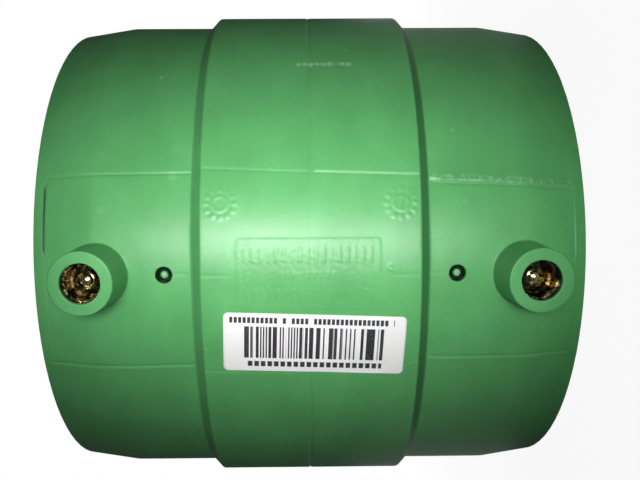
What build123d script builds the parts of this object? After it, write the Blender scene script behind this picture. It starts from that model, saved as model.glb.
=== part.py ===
from build123d import *
import os
from math import cos, radians, sin, tan

# Electrofusion coupler for 125 mm pipe: one moulded polypropylene sleeve with its
# heating winding, two brass terminal pins and a paper data label.
#
# Frame: the origin is on the pipes' axis in the middle of the pipe stop, the axis is Z,
# the coupler stands on its lower mouth, and the side that carries the terminals faces
# -Y. Lengths are in millimetres, angles in degrees.

# ---------------------------------------------------------------- driving dimensions

pipe_od = 125.0               # outside diameter of the pipes that the coupler joins
pipe_clearance = 0.4          # radial play between a pipe and the bore
body_length = 147.5           # over both mouths

socket_wall = 13.85           # wall of the two sockets, outside the bore
band_rise = 3.25              # thicker band round the middle, above the sockets
band_width = 57.3             # full-height part of the band
band_slope = 3.0              # axial run of the slope at each side of the band
taper_length = 15.7           # each socket narrows over this length to its mouth
taper_depth = 2.4             # radial drop of that taper

mouth_lead_in = 2.5           # axial run of the lead-in inside each mouth
mouth_lead_in_depth = 1.2     # radial depth of that lead-in
stop_width = 3.0              # ring in the middle that the pipe ends meet
stop_height = 2.5             # radial height of that ring

fusion_zone_length = 34.0     # stretch of each socket that carries the winding
fusion_zone_inset = 15.75     # from each mouth to the end of its zone
winding_thickness = 1.2       # radial thickness of the wound layer
crossover_width = 2.4         # wire that joins the two zones across the cold middle
crossover_depth = 0.2         # of that wire, below the surface of the bore
moulding_gap = 0.05           # between the sleeve and what is moulded into it

terminal_inset = 17.0         # from each mouth to the axis of its terminal
shroud_height = 12.9          # rim of a shroud above the socket
shroud_od = 15.8              # at the rim
shroud_draft = 2.0            # each shroud widens towards its root by this angle
shroud_root_flare = 1.2       # 45 degree flare that joins a shroud to the socket
shroud_rim_edge = 0.4         # broken outer edge of the rim
well_diameter = 9.9           # inside of a shroud
well_depth = 15.5             # below the rim

pin_diameter = 4.7            # contact part of a terminal pin
pin_recess = 4.5              # tip of the pin below the rim
pin_tip_edge = 0.5            # bevel round the tip
pin_base_diameter = 6.0       # embedded part, from the winding into the well
pin_base_height = 1.0         # of that part, above the floor of the well

indicator_offset = 14.8       # from the start of a zone to its fusion indicator
indicator_well_diameter = 4.5
indicator_well_depth = 6.0
indicator_pin_diameter = 2.4
indicator_pin_recess = 0.6    # top of the pin below the socket's surface

label_length = 48.2           # along the axis
label_width = 17.0
label_thickness = 0.15
label_gap = 0.02              # glue line under the label
label_corner = 1.3
label_angle = 13.5            # from the terminals' plane to the middle of the label
label_offset = -0.8           # from the middle of the coupler, along the axis
label_tilt = 2.0              # it was stuck on a little askew

# ------------------------------------------------------------------- derived sizes

bore_radius = pipe_od / 2 + pipe_clearance
half_length = body_length / 2
socket_radius = bore_radius + socket_wall
band_radius = socket_radius + band_rise
band_half = band_width / 2
mouth_radius = socket_radius - taper_depth
recess_radius = bore_radius + winding_thickness
zone_end = half_length - fusion_zone_inset
zone_start = zone_end - fusion_zone_length
terminal_height = half_length - terminal_inset
indicator_height = zone_start + indicator_offset

rim_radius = socket_radius + shroud_height
well_floor_radius = rim_radius - well_depth
pin_tip_radius = rim_radius - pin_recess
pin_base_radius = well_floor_radius + pin_base_height
pin_foot_radius = recess_radius + moulding_gap


def terminal_plane(distance, height):
    """Plane at this distance from the axis on the terminals' side, facing outwards."""
    return Plane(origin=(0, -distance, height), x_dir=(0, 0, 1), z_dir=(0, -1, 0))


def outward(shape, near, height):
    """A shape built along +Z, laid along -Y with its foot at radius near."""
    return terminal_plane(near, height) * shape


def disc(diameter, length):
    """Cylinder that starts at its own origin and runs along +Z."""
    return Cylinder(diameter / 2, length, align=(Align.CENTER, Align.CENTER, Align.MIN))


def tube(outer, inner, low, high):
    """Ring between two radii and two heights."""
    wall = Rectangle(outer - inner, high - low, align=(Align.MIN, Align.MIN))
    return revolve(Plane.XZ * Pos(inner, low) * wall, Axis.Z)


# ------------------------------------------------------------------- moulded sleeve

def sleeve_section():
    """Half section of the sleeve, as radius and height from the middle plane."""
    upper = [
        (bore_radius - stop_height, stop_width / 2),
        (bore_radius, stop_width / 2),
        (bore_radius, zone_start),
        (recess_radius, zone_start),
        (recess_radius, zone_end),
        (bore_radius, zone_end),
        (bore_radius, half_length - mouth_lead_in),
        (bore_radius + mouth_lead_in_depth, half_length),
        (mouth_radius, half_length),
        (socket_radius, half_length - taper_length),
        (socket_radius, band_half + band_slope),
        (band_radius, band_half),
    ]
    lower = [(radius, -height) for radius, height in reversed(upper)]
    return make_face(Plane.XZ * Polyline(*upper, *lower, close=True))


def shroud(height):
    """Drafted tube round one terminal, from inside the wall to its rim, flared at its root."""
    buried = (socket_radius - bore_radius) / 2
    tip = shroud_od / 2
    foot = tip + shroud_height * tan(radians(shroud_draft))
    flare = shroud_root_flare
    profile = Polyline(
        (0, -buried),
        (foot + flare + buried, -buried),
        (foot, flare),
        (tip, shroud_height - shroud_rim_edge),
        (tip - shroud_rim_edge, shroud_height),
        (0, shroud_height),
        close=True,
    )
    return outward(revolve(Plane.XZ * make_face(profile), Axis.Z), socket_radius, height)


def terminal_well(height):
    """Space inside one shroud, with the hole that the base of the pin fills."""
    well = outward(disc(well_diameter, well_depth), well_floor_radius, height)
    seat = disc(pin_base_diameter + 2 * moulding_gap, well_floor_radius - bore_radius)
    return well + outward(seat, bore_radius, height)


def indicator_well(height):
    """Ring-shaped well round the pin of one fusion indicator."""
    pin = disc(indicator_pin_diameter, indicator_well_depth - indicator_pin_recess)
    well = disc(indicator_well_diameter, indicator_well_depth + band_radius - socket_radius)
    return outward(well - pin, socket_radius - indicator_well_depth, height)


def coupler_body():
    body = revolve(sleeve_section(), Axis.Z)
    for side in (-1, 1):
        body += shroud(side * terminal_height)
    for side in (-1, 1):
        body -= terminal_well(side * terminal_height)
        body -= indicator_well(side * indicator_height)
    slot = crossover_width + 2 * moulding_gap
    body -= crossover(slot, bore_radius - moulding_gap, recess_radius, zone_start)
    return body


# ------------------------------------------------------------------ heating winding

def crossover(width, near, far, reach):
    """Straight strip along the back of the bore, from a flat face at near out to radius far."""
    strip = Box(width, far, 2 * reach, align=(Align.CENTER, Align.MIN, Align.CENTER))
    return Pos(0, near, 0) * strip & Cylinder(far, 2 * reach)


def heating_winding():
    """Both wound layers and the run between them, one continuous jacketed wire.

    The turns lie close against each other, so each layer is the ring that they fill,
    flush with the bore.
    """
    outer = recess_radius - moulding_gap
    near = zone_start + moulding_gap
    far = zone_end - moulding_gap
    link = crossover(crossover_width, bore_radius + crossover_depth, outer, near + winding_thickness)
    return tube(outer, bore_radius, -far, -near) + link + tube(outer, bore_radius, near, far)


# -------------------------------------------------------------------- terminal pins

def terminal_pin(height):
    """Turned brass pin: base in the wall down to the winding, contact part, bevelled tip."""
    base = disc(pin_base_diameter, pin_base_radius - pin_foot_radius)
    contact = disc(pin_diameter, pin_tip_radius - pin_base_radius)
    contact = chamfer(contact.faces().sort_by(Axis.Z)[-1].edges(), pin_tip_edge)
    return outward(base, pin_foot_radius, height) + outward(contact, pin_base_radius, height)


# ---------------------------------------------------------------------- data label

def data_label():
    """Thin sticker on the band, below the terminals' plane as the coupler lies."""
    inner = band_radius + label_gap
    skin = tube(inner + label_thickness, inner, -label_length, label_length)
    outline = RectangleRounded(label_length, label_width, label_corner)
    stamp = extrude(Rot(0, 0, -label_tilt) * outline, 2 * band_radius)
    angle = radians(label_angle)
    facing = Plane(
        origin=(0, 0, label_offset), x_dir=(0, 0, 1), z_dir=(-sin(angle), -cos(angle), 0)
    )
    return skin & facing * stamp


# -------------------------------------------------------------------------- output

nodes = {
    "coupler_body": coupler_body(),
    "heating_winding": heating_winding(),
    "lower_terminal_pin": terminal_pin(-terminal_height),
    "upper_terminal_pin": terminal_pin(terminal_height),
    "data_label": data_label(),
}

os.makedirs("parts", exist_ok=True)
for name, shape in nodes.items():
    export_step(shape, f"parts/{name}.step")
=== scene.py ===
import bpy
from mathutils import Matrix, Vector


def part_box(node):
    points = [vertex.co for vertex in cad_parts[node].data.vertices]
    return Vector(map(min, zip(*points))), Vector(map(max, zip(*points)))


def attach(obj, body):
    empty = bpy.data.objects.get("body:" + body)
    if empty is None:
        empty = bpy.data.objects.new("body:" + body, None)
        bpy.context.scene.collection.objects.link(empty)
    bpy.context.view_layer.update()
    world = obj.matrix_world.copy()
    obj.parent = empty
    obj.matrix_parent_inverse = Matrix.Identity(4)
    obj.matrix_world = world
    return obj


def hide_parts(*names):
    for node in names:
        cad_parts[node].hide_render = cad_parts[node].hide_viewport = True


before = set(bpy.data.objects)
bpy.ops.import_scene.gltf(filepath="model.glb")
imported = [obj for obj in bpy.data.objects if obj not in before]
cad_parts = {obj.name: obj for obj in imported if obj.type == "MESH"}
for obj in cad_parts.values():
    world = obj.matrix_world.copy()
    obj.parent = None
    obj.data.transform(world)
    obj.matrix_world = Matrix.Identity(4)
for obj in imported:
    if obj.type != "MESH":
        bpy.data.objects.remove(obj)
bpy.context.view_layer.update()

from math import ceil, cos, pi, radians, sin, tan

import bpy
import bmesh
import numpy as np
from mathutils import Matrix, Vector

# ------------------------------------------------------------------ moulded sleeve
# The sleeve is one injection moulding of green polypropylene: two sockets and a thicker
# band, with a shroud, a well and an indicator on each socket. The mould's insert leaves
# its outline on the terminals' side, with two date dials and a raised name field.

# Sizes are in millimetres, and MM turns them into the metres of the scene.
MM = 0.001
bore_radius = 62.9
recess_radius = 64.1
socket_radius = 76.75
mouth_radius = 74.35
band_radius = 79.9
half_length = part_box("coupler_body")[1].z / MM
band_half = 28.65
band_foot = 31.65
taper_start = 58.05
zone_near, zone_far = 24.0, 58.0
stop_half, stop_height = 1.5, 2.5
lead_in, lead_in_depth = 2.5, 1.2
insert_end, insert_end_zone = 70.7, 0.8
rim_level = -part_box("coupler_body")[0].y / MM


def filleted(corners):
    """Closed outline through corners of (radius, height, rounding); 0 leaves one sharp."""
    outline = []
    for k, (r, z, rounding) in enumerate(corners):
        here = np.array((r, z))
        if not rounding:
            outline.append(here)
            continue
        back = np.array(corners[k - 1][:2]) - here
        ahead = np.array(corners[(k + 1) % len(corners)][:2]) - here
        back /= np.linalg.norm(back)
        ahead /= np.linalg.norm(ahead)
        half = np.arccos(back @ ahead) / 2
        centre = here + (back + ahead) / np.linalg.norm(back + ahead) * rounding / sin(half)
        start = here + back * rounding / tan(half) - centre
        end = here + ahead * rounding / tan(half) - centre
        turn = pi - 2 * half
        steps = max(4, ceil(turn / radians(18)))
        for t in np.linspace(0, 1, steps + 1):
            outline.append(centre + (start * sin(turn * (1 - t)) + end * sin(turn * t)) / sin(turn))
    return outline


def subdivided(outline, step_at):
    """The same closed outline with no side longer than step_at(radius, height)."""
    points = []
    for here, after in zip(outline, outline[1:] + outline[:1]):
        count = max(1, ceil(np.linalg.norm(after - here) / step_at(*((here + after) / 2))))
        points += [here + (after - here) * t / count for t in range(count)]
    return np.array(points)


def row_step(r, z):
    """How far apart the mesh's rows lie: closest at the insert's ends, then on the band."""
    if r < mouth_radius:
        return 3.0
    if abs(abs(z) - insert_end) < insert_end_zone:
        return 0.15
    return 0.44 if abs(z) < band_half else 0.9


taper_fall = (socket_radius - mouth_radius) / (half_length - taper_start)
fine_foot, fine_top = insert_end - insert_end_zone, insert_end + insert_end_zone

# The upper half's outline, from the pipe stop up the bore and down to the band's edge.
upper_half = [
    (bore_radius - stop_height, stop_half, 0.4),
    (bore_radius, stop_half, 0.3),
    (bore_radius, zone_near, 0),
    (recess_radius, zone_near, 0),
    (recess_radius, zone_far, 0),
    (bore_radius, zone_far, 0),
    (bore_radius, half_length - lead_in, 1.0),
    (bore_radius + lead_in_depth, half_length, 0.3),
    (mouth_radius, half_length, 0.45),
    (mouth_radius + taper_fall * (half_length - fine_top), fine_top, 0),
    (mouth_radius + taper_fall * (half_length - fine_foot), fine_foot, 0),
    (socket_radius, taper_start, 14.0),
    (socket_radius, band_foot, 0.5),
    (band_radius, band_half, 0.5),
]
lower_half = [(r, -z, rounding) for r, z, rounding in reversed(upper_half)]
section = subdivided(filleted(upper_half + lower_half), row_step)[::-1]

# The rows run up the outside from the lower mouth, and then down through the bore.
first_row = np.argmin(section[:, 1] + 1000 * (section[:, 0] < mouth_radius))
section = np.roll(section, -int(first_row), 0)
row_r, row_z = section.T
outer_rows = int(np.argmax(row_z[1:] < row_z[:-1])) + 1
while row_r[outer_rows - 1] < mouth_radius:
    outer_rows -= 1


def smooth(x):
    """0 below 0, 1 above 1, and an even curve between."""
    x = np.clip(x, 0, 1)
    return x * x * (3 - 2 * x)


def within(x, low, high, edge):
    """1 between low and high, 0 outside them, and an even curve over each edge."""
    return smooth((x - low) / edge + 0.5) * smooth((high - x) / edge + 0.5)


def line(x, middle, half_width):
    """1 at the middle of a fine line, and nearly 0 at twice its half width."""
    return np.exp(-(((x - middle) / half_width) ** 2))


def ridge(x, middle, half_width):
    """1 at the middle of a rounded ridge, and 0 at its half width."""
    return smooth(1 - np.abs(x - middle) / half_width)


def field(s, t, wide, high, rounding, edge):
    """1 inside a rounded rectangle of the given size about (0, 0), 0 outside it."""
    out_s = np.maximum(np.abs(s) - (wide / 2 - rounding), 0)
    out_t = np.maximum(np.abs(t) - (high / 2 - rounding), 0)
    return smooth((rounding - np.hypot(out_s, out_t)) / edge)


# Outline of the insert, as angles from the terminals' plane towards +X at each height.
insert_plus_z = (-74, -64, -34, -31.6, -28.6, 0, 28.6, 31.6, 48, 74)
insert_plus = (17.2, 17.5, 18.5, 18.9, 19.2, 19.9, 20.8, 20.7, 20.6, 20.4)
insert_minus_z = (-74, -64, -34, -31.6, -28.6, -25, -19, 3, 29, 31.6, 48, 74)
insert_minus = (-18.0, -18.0, -18.3, -17.7, -17.2, -18.3, -19.7, -20.2, -19.5, -19.7, -20.0, -19.8)

# Its depth and step, the gap inside its edge, and the plate and the lip outside it.
insert_depth, insert_step = 0.075, 0.44
gap_inset, gap_half, gap_on_band, gap_on_socket = 0.38, 0.17, 0.055, 0.18
plate_foot, plate_top, plate_lift = -28.1, -1.2, 0.085
lip_foot, lip_top = -69.0, -32.0


def insert_edges(z):
    """The angles of the insert's two edges at a height."""
    return np.interp(z, insert_minus_z, insert_minus), np.interp(z, insert_plus_z, insert_plus)


def insert_relief(angle, z, inside):
    """The insert's sunken field, the gap inside its edge and what was left outside it."""
    minus, plus = insert_edges(z)
    socket = smooth((np.abs(z) - band_foot) / 0.6)
    gap = np.maximum(line(angle, plus - gap_inset, gap_half), line(angle, minus + gap_inset, gap_half))
    gap_depth = gap_on_band + (gap_on_socket - gap_on_band) * socket
    plate = within(z, plate_foot, plate_top, 0.4) * smooth((angle - plus + 0.2) / 0.45)
    plate = plate * smooth((78 - angle) / 45)
    lumps = np.sin(z * 3.1 + 2 * np.sin(z * 1.3)) * np.sin(z * 0.53 + 1) + 0.7 * np.sin(z * 1.9)
    lip = ridge(angle, plus + 0.4, 0.45) * within(z, lip_foot, lip_top, 2)
    flash = ridge(angle, minus - 0.35, 0.4) * socket
    outside = plate_lift * plate + (0.10 + 0.24 * np.abs(lumps)) * lip
    outside += 0.05 * (1 + np.sin(z * 1.7)) * flash
    return outside - (insert_depth + gap_depth * gap) * inside


# Lines that the mould left, by height or angle, with the ends of the shorter ones.
parting_height, parting_depth = -0.1, 0.28
split_angle, split_from, split_to = 0.2, 21.0, 36.0
slit_height, slit_from, slit_to = 70.8, 4.5, 18.0
rib_height, rib_from, rib_to = -70.9, 3.5, 15.0


def line_relief(angle, z, inside, band):
    """The parting line, the split along the insert, and a slit and a rib at the mouths."""
    parting = parting_depth * (1 - inside) * line(z, parting_height, 0.28)
    parting += 0.03 * inside * line(z, parting_height, 0.4)
    split = inside * line(angle, split_angle, 0.22) * within(np.abs(z), split_from, split_to, 2)
    slit = line(z, slit_height, 0.17) * within(angle, slit_from, slit_to, 2)
    rib = line(z, rib_height, 0.25) * within(angle, rib_from, rib_to, 2)
    return 0.16 * rib - band * parting - 0.045 * split - 0.7 * slit


dial_angle, dial_height, dial_lift = 13.6, 23.6, 0.13
dial_radius, hub_radius, dial_marks, pointer_turn = 3.75, 1.95, 12, 0.3


def dial(s, t, pointer):
    """A date dial: worn marks round a raised ring, with an optional pointer."""
    r = np.hypot(s, t)
    turn = np.arctan2(s, t) / (2 * pi) * dial_marks
    mark = np.round(turn)
    spoke = np.abs(turn - mark) / dial_marks * 2 * pi * r
    worn = 0.8 + 0.2 * np.sin(mark * 2.4)
    marks = worn * smooth((0.85 - spoke) / 0.6) * smooth((1.0 - np.abs(r - dial_radius)) / 0.6)
    hub = smooth((0.6 - np.abs(r - hub_radius)) / 0.5)
    along = s * cos(pointer_turn) - t * sin(pointer_turn)
    across = t * cos(pointer_turn) + s * sin(pointer_turn)
    return dial_lift * (marks + 0.8 * hub + 1.2 * pointer * field(across, along, 1.0, 3.6, 0.45, 0.4))


def rib_row(z, arc, left, right, middle, high, count):
    """Row of plain upright ribs between two heights on the sleeve, centred on an arc."""
    pitch = (right - left) / count
    along = (z - left) / pitch
    number = np.floor(along)
    width = 0.50 + 0.12 * np.sin(number * 2.3)
    there = (along > 0) & (along < count)
    return field((along - number - 0.5) * pitch, arc - middle, width * pitch, high, 0.45, 0.45) * there


# The worn name, as rows of ribs: their lift, then both ends, middle, height and count.
name_z, name_s, name_wide, name_high = 0.6, 0.45, 37.8, 19.2
name_rows = (
    (0.090, -16.6, 18.2, 5.6, 4.4, 17),
    (0.099, -7.0, 8.6, 0.2, 2.4, 9),
    (0.099, 1.6, 17.6, -5.0, 3.5, 8),
    (0.099, -17.0, -6.0, -5.0, 3.5, 6),
)
side_row_angle, side_row_lift, side_row = 47.0, 0.20, (-13.2, 3.6, 0, 1.5, 10)
ring_z, ring_s, ring_radius = -20.9, 2.2, 0.75


def band_marks(angle, z):
    """What stands on the band: the name field, marks beside it, a ring and both dials."""
    arc = np.radians(angle) * band_radius
    rubbed = np.sin(z * 2.3 + 3 * np.sin(arc * 0.8)) * np.sin(arc * 2.1 + 2 * np.sin(z * 0.9))
    marks = (0.07 + 0.022 * rubbed) * field(z - name_z, arc - name_s, name_wide, name_high, 1.2, 0.4)
    for lift, *row in name_rows:
        marks += lift * rib_row(z, arc, *row)
    side_arc = np.radians(angle - side_row_angle) * band_radius
    marks += side_row_lift * rib_row(z, side_arc, *side_row)
    marks += 0.12 * ridge(np.hypot(z - ring_z, arc - ring_s), ring_radius, 0.45)
    dial_arc = np.radians(angle - dial_angle) * band_radius
    return marks + dial(dial_arc, z - dial_height, 0) + dial(dial_arc, z + dial_height, 1)


# The ring that an ejector pin left, and a drop of plastic beside the insert.
ejector_angle, ejector_z, ejector_radius = 12.5, 48.3, 2.3
drop_s, drop_z, drop_radius = 27.2, 36.6, 1.1


def relief(angle, z):
    """How far the outer surface stands proud at an angle in degrees and a height."""
    band = smooth((band_half - 0.2 - np.abs(z)) / 0.3)
    inside = within(angle, *insert_edges(z), insert_step) * smooth((insert_end - np.abs(z)) / 0.3 + 0.5)
    height = insert_relief(angle, z, inside) + line_relief(angle, z, inside, band)
    height += band * band_marks(angle, z)
    around = np.radians(angle)
    height += 0.14 * ridge(np.hypot(z - drop_z, (around * band_radius - drop_s) * 0.8), 0, drop_radius)
    ejector = np.hypot(z - ejector_z, (around - radians(ejector_angle)) * socket_radius)
    height -= 0.07 * ridge(ejector, ejector_radius, 0.6)
    shrinkage = np.sin(6.3 * around + 0.045 * z) + np.sin(4 * around + 0.16 * z)
    return height + 0.014 * shrinkage


def outer_radius(angle, z):
    """Radius of the sleeve's outside, relief included."""
    return np.interp(z, row_z[:outer_rows], row_r[:outer_rows]) + relief(angle, z)


# Columns of the mesh round the sleeve, close together where the insert carries detail.
edge_angle = 20.0
edge_offsets = (-0.7, -0.52, -0.38, -0.24, -0.12, 0.12, 0.3, 0.5, 0.75)
columns = [side * (edge_angle + offset) for side in (-1, 1) for offset in edge_offsets]
columns += [-18.9, -18.3, -17.3, -16.3, -15.2, -14.0, -12.8, -11.6, -10.4, -9.3, -8.3]
columns += [8.6, 9.1, 17.8, 18.3, 18.8]
for first, last, step in ((-7.4, 8.01, 0.26), (9.6, 17.41, 0.26), (46.0, 48.1, 0.25)):
    columns += list(np.arange(first, last, step))
plain = np.linspace(20.75, 339.25, 78)[1:-1]
columns = np.array(sorted(columns + [c for c in plain if abs(c - side_row_angle) >= 2]))
plus_pull = smooth((columns - 9.5) / 10) * smooth((60 - columns) / 35)
minus_pull = smooth((-9.5 - columns) / 10) + smooth((columns - 300) / 35)


def column_angles(z):
    """Angles of all columns at a height: those near the insert's edges follow them."""
    minus, plus = insert_edges(z)
    return columns + plus_pull * (plus - edge_angle) + minus_pull * (minus + edge_angle)


def on_cylinder(angle, r, z):
    """Points at angles in degrees from the terminals' plane, a radius and a height."""
    a = np.radians(angle)
    return np.stack([r * np.sin(a), -r * np.cos(a), np.broadcast_to(z, np.shape(a))], -1)


vertices = []
grid = np.zeros((len(row_r), len(columns)), int)
for i, (r, z) in enumerate(zip(row_r, row_z)):
    angles = column_angles(z)
    proud = relief(np.where(angles > 180, angles - 360, angles), z) if i < outer_rows else 0
    grid[i] = np.arange(len(columns)) + i * len(columns)
    vertices.extend(on_cylinder(angles, r + proud, z))

# The shroud from its foot, over the rim and down the well to the seat of the pin.
shroud_rim, shroud_foot, shroud_window = 8.1, 8.5, 12.6
well_radius, well_floor = 5.05, 74.15
seat_radius, seat_floor = 3.05, 66.0
root_round, rim_round, well_round = 0.45, 0.35, 0.3
quarter = np.radians(np.linspace(0, 90, 6))


def ring(radius, level, lift=0.0, share=1.0):
    """Ring about a terminal's axis. Share 0 lies lift above the sleeve, share 1 at level."""
    return radius, level, lift, share


shroud_rings = [ring(shroud_foot + root_round + extra, 0, 0, 0) for extra in (1.2, 0.5, 0.15)]
shroud_rings += [
    ring(shroud_foot + root_round * (1 - sin(a)), 0, root_round * (1 - cos(a)), 0) for a in quarter
]
for t in (0.12, 0.35, 0.65, 0.9):
    r = shroud_foot + (shroud_rim - shroud_foot) * t
    shroud_rings.append(ring(r, rim_level - rim_round, root_round, t))
shroud_rings += [
    ring(shroud_rim - rim_round * (1 - cos(a)), rim_level - rim_round * (1 - sin(a)))
    for a in quarter
]
shroud_rings += [ring(shroud_rim - 0.8, rim_level), ring(well_radius + 0.7, rim_level)]
shroud_rings += [
    ring(well_radius + well_round * (1 - sin(a)), rim_level - well_round * (1 - cos(a)))
    for a in quarter
]
shroud_rings += [ring(well_radius, level) for level in (88.6, 87.0, 84.0, 80.0, 76.5)]
shroud_rings += [
    ring(well_radius - 1.0 * (1 - cos(a)), well_floor + 1.0 * (1 - sin(a))) for a in quarter
]
shroud_rings += [ring(seat_radius + 0.4, well_floor), ring(seat_radius, well_floor)]
shroud_rings += [ring(seat_radius, 72.0), ring(seat_radius, seat_floor), ring(1.5, seat_floor)]

# The ring well of an indicator, and the pin with a rounded top that stands in it.
indicator_height, indicator_window = 38.8, 4.8
indicator_well, indicator_pin = 2.25, 1.2
indicator_floor, indicator_top = 71.0, 76.0
indicator_rings = [ring(3.1, 0, 0, 0), ring(2.7, 0, 0.02, 0)]
indicator_rings += [
    ring(indicator_well + 0.25 * (1 - sin(a)), 0, 0.02 - 0.25 * (1 - cos(a)), 0) for a in quarter
]
indicator_rings += [ring(indicator_well, level) for level in (75.6, 73.0)]
indicator_rings += [ring(2.1, indicator_floor), ring(1.4, indicator_floor), ring(1.25, 71.3)]
indicator_rings += [ring(indicator_pin, level) for level in (73.0, 74.6)]
indicator_rings += [
    ring(indicator_pin * cos(a), indicator_top - 1.05 * (1 - sin(a))) for a in quarter[:-1]
]


def bridged(loops):
    """Quads between each closed loop of points and the next, in one list."""
    polygons = []
    for here, after in zip(loops, loops[1:]):
        quads = [here, np.roll(here, -1), np.roll(after, -1), after]
        polygons.extend(np.stack(quads, -1).tolist())
    return polygons


covered = np.zeros(grid.shape, bool)
faces = []


def patch(height, half_size, rings):
    """Replaces a window of the grid about a terminal's axis by rings that fill it."""
    outer_z = row_z[:outer_rows]
    rows = np.flatnonzero(np.abs(outer_z - height) <= half_size)
    x = socket_radius * np.sin(np.radians(columns))
    cols = np.flatnonzero((np.abs(x) <= half_size) & (np.cos(np.radians(columns)) > 0))
    cols = np.array(sorted(cols, key=lambda c: (columns[c] + 180) % 360))
    covered[np.ix_(rows[:-1], cols[:-1])] = True
    border = [grid[rows[0], c] for c in cols[:-1]] + [grid[k, cols[-1]] for k in rows[:-1]]
    border += [grid[rows[-1], c] for c in cols[:0:-1]] + [grid[k, cols[0]] for k in rows[:0:-1]]
    corner = np.array([vertices[v] for v in border])[:, [0, 2]] - (0, height)
    turn = np.arctan2(corner[:, 1], corner[:, 0])
    direction = np.stack([np.cos(turn), np.sin(turn)], -1)
    first = rings[0][0]
    loops = [np.array(border)]
    fill = [(t, rings[0]) for t in (0.35, 0.7)] + [(1.0, one) for one in rings]
    for t, (radius, level, lift, share) in fill:
        flat = corner * (1 - t) + direction * (radius if t == 1 else first) * t
        x, z = flat[:, 0], flat[:, 1] + height
        angle = np.degrees(np.arcsin(x / socket_radius))
        skin = np.sqrt(outer_radius(angle, z) ** 2 - x**2)
        y = -((1 - share) * (skin + lift) + share * level)
        loops.append(np.arange(len(border)) + len(vertices))
        vertices.extend(np.stack([x, y, z], -1))
    faces.extend(bridged(loops))
    faces.append(loops[-1].tolist())


pin_low, pin_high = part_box("upper_terminal_pin")
terminal_height = (pin_low.z + pin_high.z) / 2 / MM
for side in (-1, 1):
    patch(side * terminal_height, shroud_window, shroud_rings)
    patch(side * indicator_height, indicator_window, indicator_rings)

row_after, column_after = np.roll(grid, -1, 0), np.roll(grid, -1, 1)
cells = np.stack([grid, column_after, np.roll(row_after, -1, 1), row_after], -1)
faces += cells[~covered].tolist()


def piece(name, points, polygons):
    """A mesh object of the coupler, from points in millimetres, that rides with it."""
    mesh = bpy.data.meshes.new(name)
    mesh.from_pydata(np.asarray(points, float) * MM, [], polygons)
    shaped = bmesh.new()
    shaped.from_mesh(mesh)
    loose = [v for v in shaped.verts if not v.link_faces]
    bmesh.ops.delete(shaped, geom=loose, context="VERTS")
    bmesh.ops.recalc_face_normals(shaped, faces=shaped.faces)
    shaped.to_mesh(mesh)
    shaped.free()
    mesh.shade_smooth()
    made = bpy.data.objects.new(name, mesh)
    bpy.context.scene.collection.objects.link(made)
    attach(made, "root")
    return made


sleeve = piece("moulded_sleeve", vertices, faces)
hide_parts("coupler_body")


class Signal:
    """A shader socket that takes part in Python arithmetic, which adds Math nodes."""

    def __init__(self, tree, socket=None):
        self.tree, self.socket = tree, socket

    def node(self, kind, settings=None, inputs=None, output=0):
        """Adds a node with its settings, then its values and links, and gives one output."""
        made = self.tree.nodes.new("ShaderNode" + kind)
        for name, value in (settings or {}).items():
            setattr(made, name, value)
        for key, value in (inputs or {}).items():
            if isinstance(value, Signal):
                self.tree.links.new(value.socket, made.inputs[key])
            else:
                made.inputs[key].default_value = value
        return Signal(self.tree, made.outputs[output]) if made.outputs else None

    def math(self, operation, *others):
        """This value, with any others after it, put through one Math node."""
        return self.node("Math", {"operation": operation}, dict(enumerate((self, *others))))

    def vector(self, operation, other, output=0):
        """This vector and another put through one Vector Math node."""
        return self.node("VectorMath", {"operation": operation}, {0: self, 1: other}, output)

    def axes(self):
        """The X, Y and Z of this vector."""
        return [self.node("SeparateXYZ", None, {0: self}, k) for k in range(3)]

    def between(self, low, high, smooth_step=True):
        """0 below low, 1 above high, and an even curve or a straight rise between."""
        settings = {"interpolation_type": "SMOOTHSTEP" if smooth_step else "LINEAR"}
        return self.node("MapRange", settings, {0: self, 1: low, 2: high, 3: 0.0, 4: 1.0})

    def within(self, low, high, edge):
        """1 between low and high, 0 outside them, and an even curve over each edge."""
        half = edge / 2
        return self.between(low - half, low + half) * (1 - self.between(high - half, high + half))

    def __add__(self, other):
        return self.math("ADD", other)

    def __sub__(self, other):
        return self.math("SUBTRACT", other)

    def __rsub__(self, other):
        return self.node("Math", {"operation": "SUBTRACT"}, {0: other, 1: self})

    def __mul__(self, other):
        return self.math("MULTIPLY", other)

    def __truediv__(self, other):
        return self.math("DIVIDE", other)

    def __lt__(self, other):
        return self.math("LESS_THAN", other)

    def __abs__(self):
        return self.math("ABSOLUTE")

    __radd__, __rmul__ = __add__, __mul__

    def blend(self, low, high):
        """The colour low where this value is 0 and high where it is 1."""
        return self.node("Mix", {"data_type": "RGBA"}, {0: self, 6: low, 7: high}, output=2)

    def noise(self, scale, detail=3.0, roughness=0.5):
        """Noise over this vector, from 0 to 1."""
        inputs = {"Vector": self, "Scale": scale, "Detail": detail, "Roughness": roughness}
        return self.node("TexNoise", None, inputs)

    def stretched(self, x, y, z):
        """This vector with each axis multiplied by its own number."""
        return self.vector("MULTIPLY", (x, y, z))


def new_material(name):
    """An empty material, and a signal to build its nodes from."""
    made = bpy.data.materials.new(name)
    made.use_nodes = True
    made.node_tree.nodes.clear()
    return made, Signal(made.node_tree)


def finish_surface(start, inputs):
    """Ends a material in a Principled shader with the given inputs."""
    shader = start.node("BsdfPrincipled", None, inputs)
    start.node("OutputMaterial", None, {"Surface": shader})


def in_millimetres(start):
    """The place on the coupler, in millimetres from its middle."""
    return start.node("TexCoord", output="Object").stretched(1 / MM, 1 / MM, 1 / MM)


# A pale green for scuffs, the pale seam line and painted highlights, and a dark green for painted
# shade.
pale_green, painted_shade_green = (0.34, 0.62, 0.38, 1.0), (0.02, 0.10, 0.034, 1.0)
seam_angle, seam_lean = 19.63, 0.0333


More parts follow.
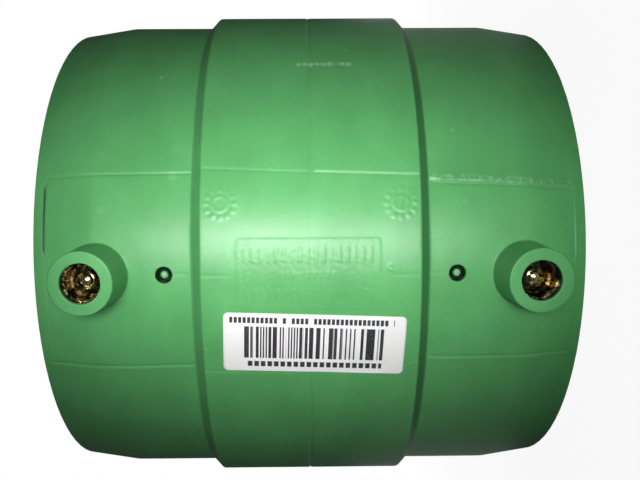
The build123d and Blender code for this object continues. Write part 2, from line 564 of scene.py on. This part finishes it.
def pale_seam_line(place, angle, y, z):
    """A ragged pale line beside the insert, on the lower socket."""
    beyond = angle - (seam_lean * z + seam_angle)
    ragged = place.noise(0.75, 3.0, 0.6).between(0.45, 0.62)
    there = z.between(-72.0, -68.0) * (1 - z.between(-33.0, -31.5)) * (y < 0.0)
    return there * ragged * beyond.between(-0.1, 0.4) * (1 - beyond.between(0.8, 1.9))


def shaded_lines(angle, radial, z):
    """Painted shade in the slit near the upper mouth and on the band's slopes, more on the lower."""
    slit = z.within(slit_height - 0.35, slit_height + 0.35, 0.3) * angle.within(slit_from, slit_to, 2.0)
    slope = radial.within(socket_radius + 0.45, band_radius - 0.35, 0.5)
    slope = slope * (1 - abs(z).between(band_foot, band_foot + 0.3)) * (0.25 + 0.48 * (z < 0.0))
    return slope.math("MAXIMUM", 0.75 * slit)


def green_plastic(name, shade, gloss, hollows=(), nicks_and_highlights=()):
    """Moulded polypropylene with flow marks, a fine mould texture and faint rubbing.

    Inside the hollows, given as (height, radius, depth level), the cores of the mould
    left the plastic smoother, and painted shade makes it darker. The pale spots, given as
    (x, y, z, radius, strength), are knocks and scuffs, with painted highlights among them.
    """
    made, start = new_material(name)
    place = in_millimetres(start)
    x, y, z = place.axes()
    angle = x.math("ARCTAN2", -1 * y) * (180 / pi)
    radial = (x * x + y * y).math("SQRT")
    flow = place.stretched(0.6, 0.6, 1.8).noise(0.045, 4.0, 0.55)
    cloud = place.noise(0.11, 3.0)
    grain = place.noise(1.3, 2.0)
    rubbed = place.stretched(1.0, 1.0, 0.25).noise(0.5, 5.0, 0.7).between(0.62, 0.8)
    speck = place.noise(0.33, 1.0, 0.4).between(0.79, 0.85)
    tone = 0.5 * flow + 0.3 * cloud + 0.2 * grain
    dark = tuple(c * shade * 0.86 for c in (0.098, 0.385, 0.124)) + (1.0,)
    pale = tuple(c * shade * 1.14 for c in (0.110, 0.40, 0.136)) + (1.0,)
    colour = tone.between(0.3, 0.7, False).blend(dark, pale)
    pale_marks_and_highlights = 0.10 * rubbed + 0.30 * speck
    for *spot, radius, strength in nicks_and_highlights:
        off = place.vector("DISTANCE", spot, "Value")
        pale_marks_and_highlights = pale_marks_and_highlights + strength * (1 - off.between(radius * 0.3, radius))
    # The pale marks include the painted highlights on the indicators' tops.
    colour = pale_marks_and_highlights.math("MINIMUM", 1.0).blend(colour, pale_green)
    colour = (0.50 * pale_seam_line(place, angle, y, z)).blend(colour, pale_green)
    # Painted shade darkens the slit and the band's slopes, most on the lower slope.
    colour = shaded_lines(angle, radial, z).blend(colour, painted_shade_green)
    roughness = gloss + 0.10 * cloud + 0.12 * rubbed
    for height, radius, level in hollows:
        beside = place.stretched(1, 0, 1).vector("DISTANCE", (0, 0, height), "Value")
        sunk = (1 - beside.between(radius, radius + 0.15)) * (y + level).between(0.0, 0.8)
        sunk = sunk * (y < -seat_floor)
        # Painted shade: the hollows are coloured a near-black green.
        colour = sunk.blend(colour, (0.012, 0.045, 0.017, 1.0))
        roughness = roughness * (1 - 0.68 * sunk)
    pits = place.noise(0.42, 4.0, 0.6) * 0.6 + grain * 0.25 + place.noise(4.0, 2.0) * 0.15
    bump = start.node("Bump", None, {"Strength": 0.16, "Distance": 0.0003, "Height": pits})
    finish_surface(start, {
        "Base Color": colour,
        "Roughness": roughness,
        "Specular IOR Level": 0.30,
        "Normal": bump,
    })
    return made


# The wells of the terminals and the ring wells of the indicators.
hollows = [(side * terminal_height, well_radius, rim_level - 0.5) for side in (-1, 1)]
hollows += [(side * indicator_height, indicator_well, socket_radius - 0.9) for side in (-1, 1)]

# Knocks and scuffs on the sleeve, then a painted highlight on the tops of the indicators' pins,
# and the marks in the row beside the name, which are rubbed pale, one of them hardly at all.
nicks_and_highlights = [
    (53.9, -54.6, 42.3, 0.8, 0.6),
    (33.5, -69.0, 35.1, 2.4, 0.10),
    (26.0, -72.4, 36.6, 1.8, 0.25),
    (17.2, -74.8, 55.3, 1.8, 0.14),
    (19.0, -74.3, -41.0, 1.2, 0.12),
    (38.0, -66.6, -39.0, 0.9, 0.3),
]
# Painted highlight: the domed tops of the indicators' pins are coloured pale.
nicks_and_highlights += [(0.0, -76.2, side * indicator_height, 1.5, 0.45) for side in (1, -1)]
for k in range(9):
    strength = 0.2 if k == 6 else 0.75
    nicks_and_highlights.append((57.1 + 0.3 * (k % 2), -55.8, 3.0 - 1.78 * k, 1.05 + 0.12 * (k % 3), strength))
sleeve.data.materials.append(green_plastic("green_polypropylene", 1.0, 0.30, hollows, nicks_and_highlights))

# ----------------------------------------------------------------- heating winding
# One resistance wire in a polypropylene jacket is wound in each socket, with a straight
# run under the pipe stop between the coils. It is laid on the core of the mould, so the
# moulding holds it and its turns show in the bore as close ridges.

turns, rows_per_turn, coil_columns = 11, 10, 180
groove_depth = 0.38
play = 0.05
run_half_width = 1.2
run_depth = 0.2
run_outside = recess_radius - play
run_inside = bore_radius + run_depth


def coil(low, high):
    """Ring of close turns between two heights, as points and polygons."""
    around = np.linspace(0, 360, coil_columns + 1)[:-1]
    points, loops = [], []
    for z in np.linspace(low, high, turns * rows_per_turn + 1):
        phase = pi * (z - low) / (high - low) * turns - np.radians(around) / 2
        ends = smooth((z - low) / 1.2) * smooth((high - z) / 1.2)
        depth = groove_depth * (1 - np.abs(np.sin(phase))) ** 1.4 * ends
        loops.append(np.arange(coil_columns) + len(points))
        points.extend(on_cylinder(around, bore_radius + depth, z))
    for z in (high, (high + low) / 2, low):
        loops.append(np.arange(coil_columns) + len(points))
        points.extend(on_cylinder(around, np.full(coil_columns, run_outside), z))
    return points, bridged(loops + loops[:1])


winding_points, winding_faces = [], []
for low, high in ((zone_near + play, zone_far - play), (-zone_far + play, -zone_near - play)):
    points, polygons = coil(low, high)
    start_at = len(winding_points)
    winding_points.extend(points)
    winding_faces.extend([[v + start_at for v in face] for face in polygons])

arch = [
    (run_half_width * cos(a), run_inside + 0.45 * (1 - sin(a))) for a in np.radians(range(0, 181, 20))
]
arch += [(-run_half_width, run_outside - 0.02), (run_half_width, run_outside - 0.02)]
run_loops = []
for z in np.linspace(-zone_near - 1.0, zone_near + 1.0, 9):
    run_loops.append(np.arange(len(arch)) + len(winding_points))
    winding_points.extend([(x, y, z) for x, y in arch])
winding_faces += bridged(run_loops) + [run_loops[0].tolist(), run_loops[-1].tolist()]

winding = piece("winding_turns", winding_points, winding_faces)
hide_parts("heating_winding")
winding.data.materials.append(green_plastic("wire_jacket", 0.8, 0.34))

# ------------------------------------------------------------------- terminal pins
# Each pin is turned from brass rod. Its wider base is held in the wall of the sleeve and
# clamps the end of the wire, and its rounded contact stands free in the shroud.

pin_radius, pin_base_radius = 2.35, 3.0
pin_foot, pin_shoulder, pin_tip = 64.15, 75.15, 85.15
dome_height, dome_edge, groove_cut = 0.75, 0.3, 0.25

pin_outline = [(0.6, pin_foot), (pin_base_radius - 0.2, pin_foot), (pin_base_radius, pin_foot + 0.2)]
pin_outline += [(pin_base_radius, 70.0), (pin_base_radius, pin_shoulder - 0.25)]
pin_outline += [(pin_base_radius - 0.1, pin_shoulder - 0.07), (pin_base_radius - 0.25, pin_shoulder)]
pin_outline += [(pin_radius + 0.12, pin_shoulder), (pin_radius, pin_shoulder + 0.12)]
neck = pin_tip - dome_height - dome_edge
pin_outline += [(pin_radius, level) for level in (76.5, 80.0, 80.3)]
pin_outline += [(pin_radius - groove_cut, 80.6), (pin_radius - groove_cut, 81.2)]
pin_outline += [(pin_radius, level) for level in (81.5, neck - 0.3, neck)]
pin_outline += [
    (pin_radius - dome_edge * (1 - cos(a)), neck + dome_edge * sin(a)) for a in quarter[1:-1]
]
pin_outline += [
    (r, pin_tip - dome_height * (r / (pin_radius - dome_edge)) ** 2)
    for r in (2.05, 1.75, 1.4, 1.05, 0.7, 0.35, 0.1)
]


def turned(outline, height, count=64, ring_shaped=False):
    """Points and polygons of an outline turned about a terminal's axis, closed at its ends."""
    a = np.linspace(0, 2 * pi, count + 1)[:-1]
    points, loops = [], []
    for r, level in outline:
        loops.append(np.arange(count) + len(points))
        points.extend(np.stack([r * np.cos(a), np.full(count, -level), height + r * np.sin(a)], -1))
    if ring_shaped:
        return points, bridged(loops + loops[:1])
    return points, [loops[0].tolist(), loops[-1].tolist()] + bridged(loops)


def brass(name, polish=0.07, uneven=0.0, painted_shade=0.0):
    """Bright brass with fine tool rings and tarnish, made uneven and patched with painted shade."""
    made, start = new_material(name)
    place = in_millimetres(start)
    tarnish = place.noise(0.9, 4.0, 0.6).between(0.42, 0.7)
    colour = tarnish.blend((0.95, 0.80, 0.46, 1.0), (0.62, 0.47, 0.22, 1.0))
    shade_patches = place.stretched(1.0, 0.6, 1.0).noise(0.38, 2.0, 0.5).between(0.46, 0.52)
    # Painted shade: patches of the brass are coloured near black, which darkens the wells.
    colour = (painted_shade * shade_patches).blend(colour, (0.012, 0.019, 0.010, 1.0))
    rings = place.stretched(0.05, 3.0, 0.05).noise(1.6, 2.0)
    dents = place.stretched(1.0, 0.6, 1.0).noise(0.45, 1.0)
    shape = 0.25 * rings + uneven * 9.0 * dents
    bump = start.node("Bump", None, {"Strength": 1.0, "Distance": 0.0001, "Height": shape})
    finish_surface(start, {
        "Base Color": colour,
        "Metallic": 1.0,
        "Roughness": polish + 0.15 * tarnish,
        "Normal": bump,
    })
    return made


pin_brass = brass("turned_brass")
for side, where in ((1, "upper"), (-1, "lower")):
    points, polygons = turned(pin_outline, side * terminal_height)
    pin = piece(f"{where}_contact_pin", points, polygons)
    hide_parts(f"{where}_terminal_pin")
    pin.data.materials.append(pin_brass)

# ------------------------------------------------------------------ contact sleeves
# A thin brass sleeve, drawn from strip and pressed against the plastic, lines each well
# round the pin. It steps in to a ledge halfway down, is dented, and has patches of painted shade.

liner_inside, liner_outside, liner_throat = 4.75, 5.02, 3.7
liner_foot, liner_top = 74.25, 87.2

liner_outline = [(liner_outside, level) for level in (liner_foot, 80.0, liner_top - 0.1)]
liner_outline += [(liner_outside - 0.08, liner_top), (liner_inside + 0.08, liner_top)]
liner_outline += [(liner_inside, level) for level in (liner_top - 0.1, 85.5, 84.0)]
liner_outline += [(4.68, 83.2), (4.50, 82.8), (4.25, 82.6), (3.95, 82.5), (3.75, 82.2)]
liner_outline += [(liner_throat, level) for level in (81.7, 79.5, 77.0, liner_foot)]
for side, where in ((1, "upper"), (-1, "lower")):
    points, polygons = turned(liner_outline, side * terminal_height, 72, True)
    liner = piece(f"{where}_contact_sleeve", points, polygons)
    liner.data.materials.append(brass(f"{where}_drawn_brass", 0.24, 0.9, 0.96))

# ---------------------------------------------------------------------- data label
# The label is a paper sticker with rounded corners, pressed on the band below the name
# field and a little askew. It is printed in black, with a strip of bars between two
# lines of small blocks.

label_length, label_width = 48.2, 17.0
label_corner = 1.3
label_angle, label_height, label_tilt = -13.5, -0.8, radians(2.0)
label_glue, label_thickness = 0.03, 0.13
label_columns = 81

# Lines across the label lie closer at its rounded corners, and reach less far there.
across = label_width / 2 - label_corner
v_lines = [-across - label_corner * sin(a) for a in np.radians((90, 70, 50, 30, 12))]
v_lines += list(np.linspace(-across, across, 22)) + [-v for v in reversed(v_lines)]
u_lines = np.linspace(-1, 1, label_columns)
label_points, label_uv = [], []
for lift in (label_glue + label_thickness, label_glue):
    for v in v_lines:
        over = max(abs(v) - across, 0)
        reach = label_length / 2 - label_corner + (label_corner**2 - over**2) ** 0.5
        u = u_lines * reach
        z = label_height + u * cos(label_tilt) + v * sin(label_tilt)
        s = -v * cos(label_tilt) + u * sin(label_tilt)
        angle = label_angle - np.degrees(-s / band_radius)
        label_points.extend(on_cylinder(angle, outer_radius(angle, z) + lift, z))
        label_v = np.full(label_columns, v / label_width + 0.5)
        label_uv.extend(np.stack([u / label_length + 0.5, label_v], -1))
sheets = np.arange(2 * len(v_lines) * label_columns).reshape(2, len(v_lines), label_columns)
label_faces, rims = [], []
for sheet in sheets:
    quads = np.stack([sheet[:-1, :-1], sheet[:-1, 1:], sheet[1:, 1:], sheet[1:, :-1]], -1)
    label_faces += quads.reshape(-1, 4).tolist()
    rims.append(np.concatenate([sheet[0], sheet[1:, -1], sheet[-1, -2::-1], sheet[-2:0:-1, 0]]))
label_faces += bridged(rims)
label = piece("printed_label", label_points, label_faces)
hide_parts("data_label")
label_map = label.data.uv_layers.new(name="UVMap")
for loop in label.data.loops:
    label_map.data[loop.index].uv = label_uv[loop.vertex_index]


# The strip of bars, and each line of blocks as its pitch and seed, its low and high
# edges, its left and right ends, and the share of blocks left out.
bar_left, bar_right, bar_low, bar_high, bar_step = 5.8, 42.7, 3.7, 12.9, 0.37
block_lines = ((1.17, 11.0, 1.15, 2.75, 3.1, 46.6, 0.10), (1.75, 5.0, 13.9, 15.5, 5.9, 42.0, 0.04))
ink_edge = 0.16


def printed_paper(name):
    """White coated paper with black bars and blocks, as a thermal printer leaves them."""
    made, start = new_material(name)
    along, up, _ = start.node("TexCoord", output="UV").axes()
    u, v = along * label_length, up * label_width

    def chance(cell, seed):
        """A number from 0 to 1 for each cell."""
        both = start.node("CombineXYZ", None, {0: cell, 1: seed})
        return start.node("TexWhiteNoise", {"noise_dimensions": "2D"}, {"Vector": both})

    def blocks(pitch, seed, low, high, left, right, gap):
        """A line of small blocks, with a few left out."""
        cell = u / pitch
        there = chance(cell.math("FLOOR"), seed).between(gap, gap + 0.02)
        there = there * cell.math("FRACT").within(0.14, 0.84, 0.16)
        return there * v.within(low, high, ink_edge) * u.within(left, right, ink_edge)

    bars = chance((u / bar_step).math("FLOOR"), 3.0).between(0.44, 0.50)
    ink = bars * u.within(bar_left, bar_right, ink_edge) * v.within(bar_low, bar_high, ink_edge)
    for block_line in block_lines:
        ink = ink + blocks(*block_line)
    ink = ink.math("MINIMUM", 1.0)
    place = in_millimetres(start)
    fibre = place.noise(1.6, 4.0, 0.6)
    patchy = place.noise(5.0, 2.0).between(0.25, 0.5)
    paper = fibre.blend((0.89, 0.89, 0.885, 1.0), (0.93, 0.925, 0.92, 1.0))
    colour = (ink * (0.86 + 0.14 * patchy)).blend(paper, (0.022, 0.022, 0.026, 1.0))
    bump = start.node("Bump", None, {"Strength": 0.1, "Distance": 0.0001, "Height": fibre})
    finish_surface(start, {
        "Base Color": colour,
        "Roughness": 0.5 + 0.12 * fibre - 0.1 * ink,
        "Specular IOR Level": 0.35,
        "Normal": bump,
    })
    return made


label.data.materials.append(printed_paper("printed_paper"))

# ------------------------------------------------------------- floor, light, camera
# The coupler stands on its lower mouth on a white floor. A long soft lamp and a small
# hard one light it from beside the camera, with a weak one to the side and a large one
# far behind.

floor_half = 4.0
floor_level = -half_length * MM
floor_mesh = bpy.data.meshes.new("floor")
floor_corners = [
    (x * floor_half, y * floor_half, floor_level) for x, y in ((-1, -1), (1, -1), (1, 1), (-1, 1))
]
floor_mesh.from_pydata(floor_corners, [], [(0, 1, 2, 3)])
floor = bpy.data.objects.new("floor", floor_mesh)
bpy.context.scene.collection.objects.link(floor)


def background_rays(start):
    """1 for rays that see the background directly or through glass, less for gloss."""
    seen = start.node("LightPath", output="Is Camera Ray")
    mirrored = start.node("LightPath", output="Is Glossy Ray")
    through = start.node("LightPath", output="Is Transmission Ray")
    return (seen + through + mirrored * 0.02).math("MINIMUM", 1.0)


floor_material, start = new_material("white_floor")
away = start.node("TexCoord", output="Object").vector("LENGTH", (0, 0, 0), "Value")
shadow_share = 0.07 * (1 - away.between(0.1, 0.3))
matt = start.node("BsdfDiffuse", None, {"Color": (0.84, 0.84, 0.84, 1.0)})
white = start.node("Emission", None, {"Color": (1.0, 1.0, 1.0, 1.0), "Strength": 1.0})
plain_white = background_rays(start) * (1 - shadow_share)
surface = start.node("MixShader", None, {0: plain_white, 1: matt, 2: white})
start.node("OutputMaterial", None, {"Surface": surface})
floor_mesh.materials.append(floor_material)

world = bpy.data.worlds.new("studio")
bpy.context.scene.world = world
world.use_nodes = True
world.node_tree.nodes.clear()
start = Signal(world.node_tree)
ambient = 0.03
strength = ambient + (1 - ambient) * background_rays(start)
studio = start.node("Background", None, {"Color": (1.0, 1.0, 1.0, 1.0), "Strength": strength})
start.node("OutputWorld", None, {"Surface": studio})

camera_place = Vector((0.02782, -0.25508, 0.00216))
camera_roll = radians(-0.35)
film_width, focal_length = 36.0, 38.475
film_shift_right, film_shift_up = 0.0184375, 0.00428125

backward = camera_place.normalized()
level_right = Vector((1, 0, 0)).cross(backward).normalized()
level_up = backward.cross(level_right)
view_right = level_right * cos(camera_roll) + level_up * sin(camera_roll)
view_up = backward.cross(view_right)
lens = bpy.data.cameras.new("camera")
lens.sensor_width = film_width
lens.lens = focal_length
lens.shift_x = film_shift_right
lens.shift_y = film_shift_up
lens.clip_start = 0.01
camera = bpy.data.objects.new("camera", lens)
facing = Matrix((view_right, view_up, backward)).transposed().to_4x4()
camera.matrix_world = Matrix.Translation(camera_place) @ facing
bpy.context.scene.collection.objects.link(camera)
bpy.context.scene.camera = camera


def lamp(name, place, wide, long, power, spread=180, aim=(0, 0, 0), glossy=False):
    """Soft lamp at a place in metres, its long side along the axis, facing an aim."""
    light = bpy.data.lights.new(name, "AREA")
    light.shape = "RECTANGLE"
    light.size = wide
    light.size_y = long
    light.energy = power
    light.spread = radians(spread)
    made = bpy.data.objects.new(name, light)
    made.location = place
    made.rotation_euler = (Vector(aim) - made.location).to_track_quat("-Z", "Y").to_euler()
    made.visible_glossy = glossy
    bpy.context.scene.collection.objects.link(made)


beside_terminals = (0.008, 0, 0.0065)
lamp("key_lamp", (0.029, -0.258, 0.007), 0.04, 0.125, 0.047, 47, beside_terminals, True)
lamp("flash_lamp", (0.048, -0.26, 0.026), 0.014, 0.014, 0.009, 60, (0.008, 0, 0.006), True)
lamp("upper_lamp", (0.32, -0.36, 0.08), 0.2, 0.2, 0.03)
lamp("back_lamp", (0.05, 0.7, 0.35), 0.5, 0.5, 2.8)

scene = bpy.context.scene
scene.view_settings.view_transform = "Standard"
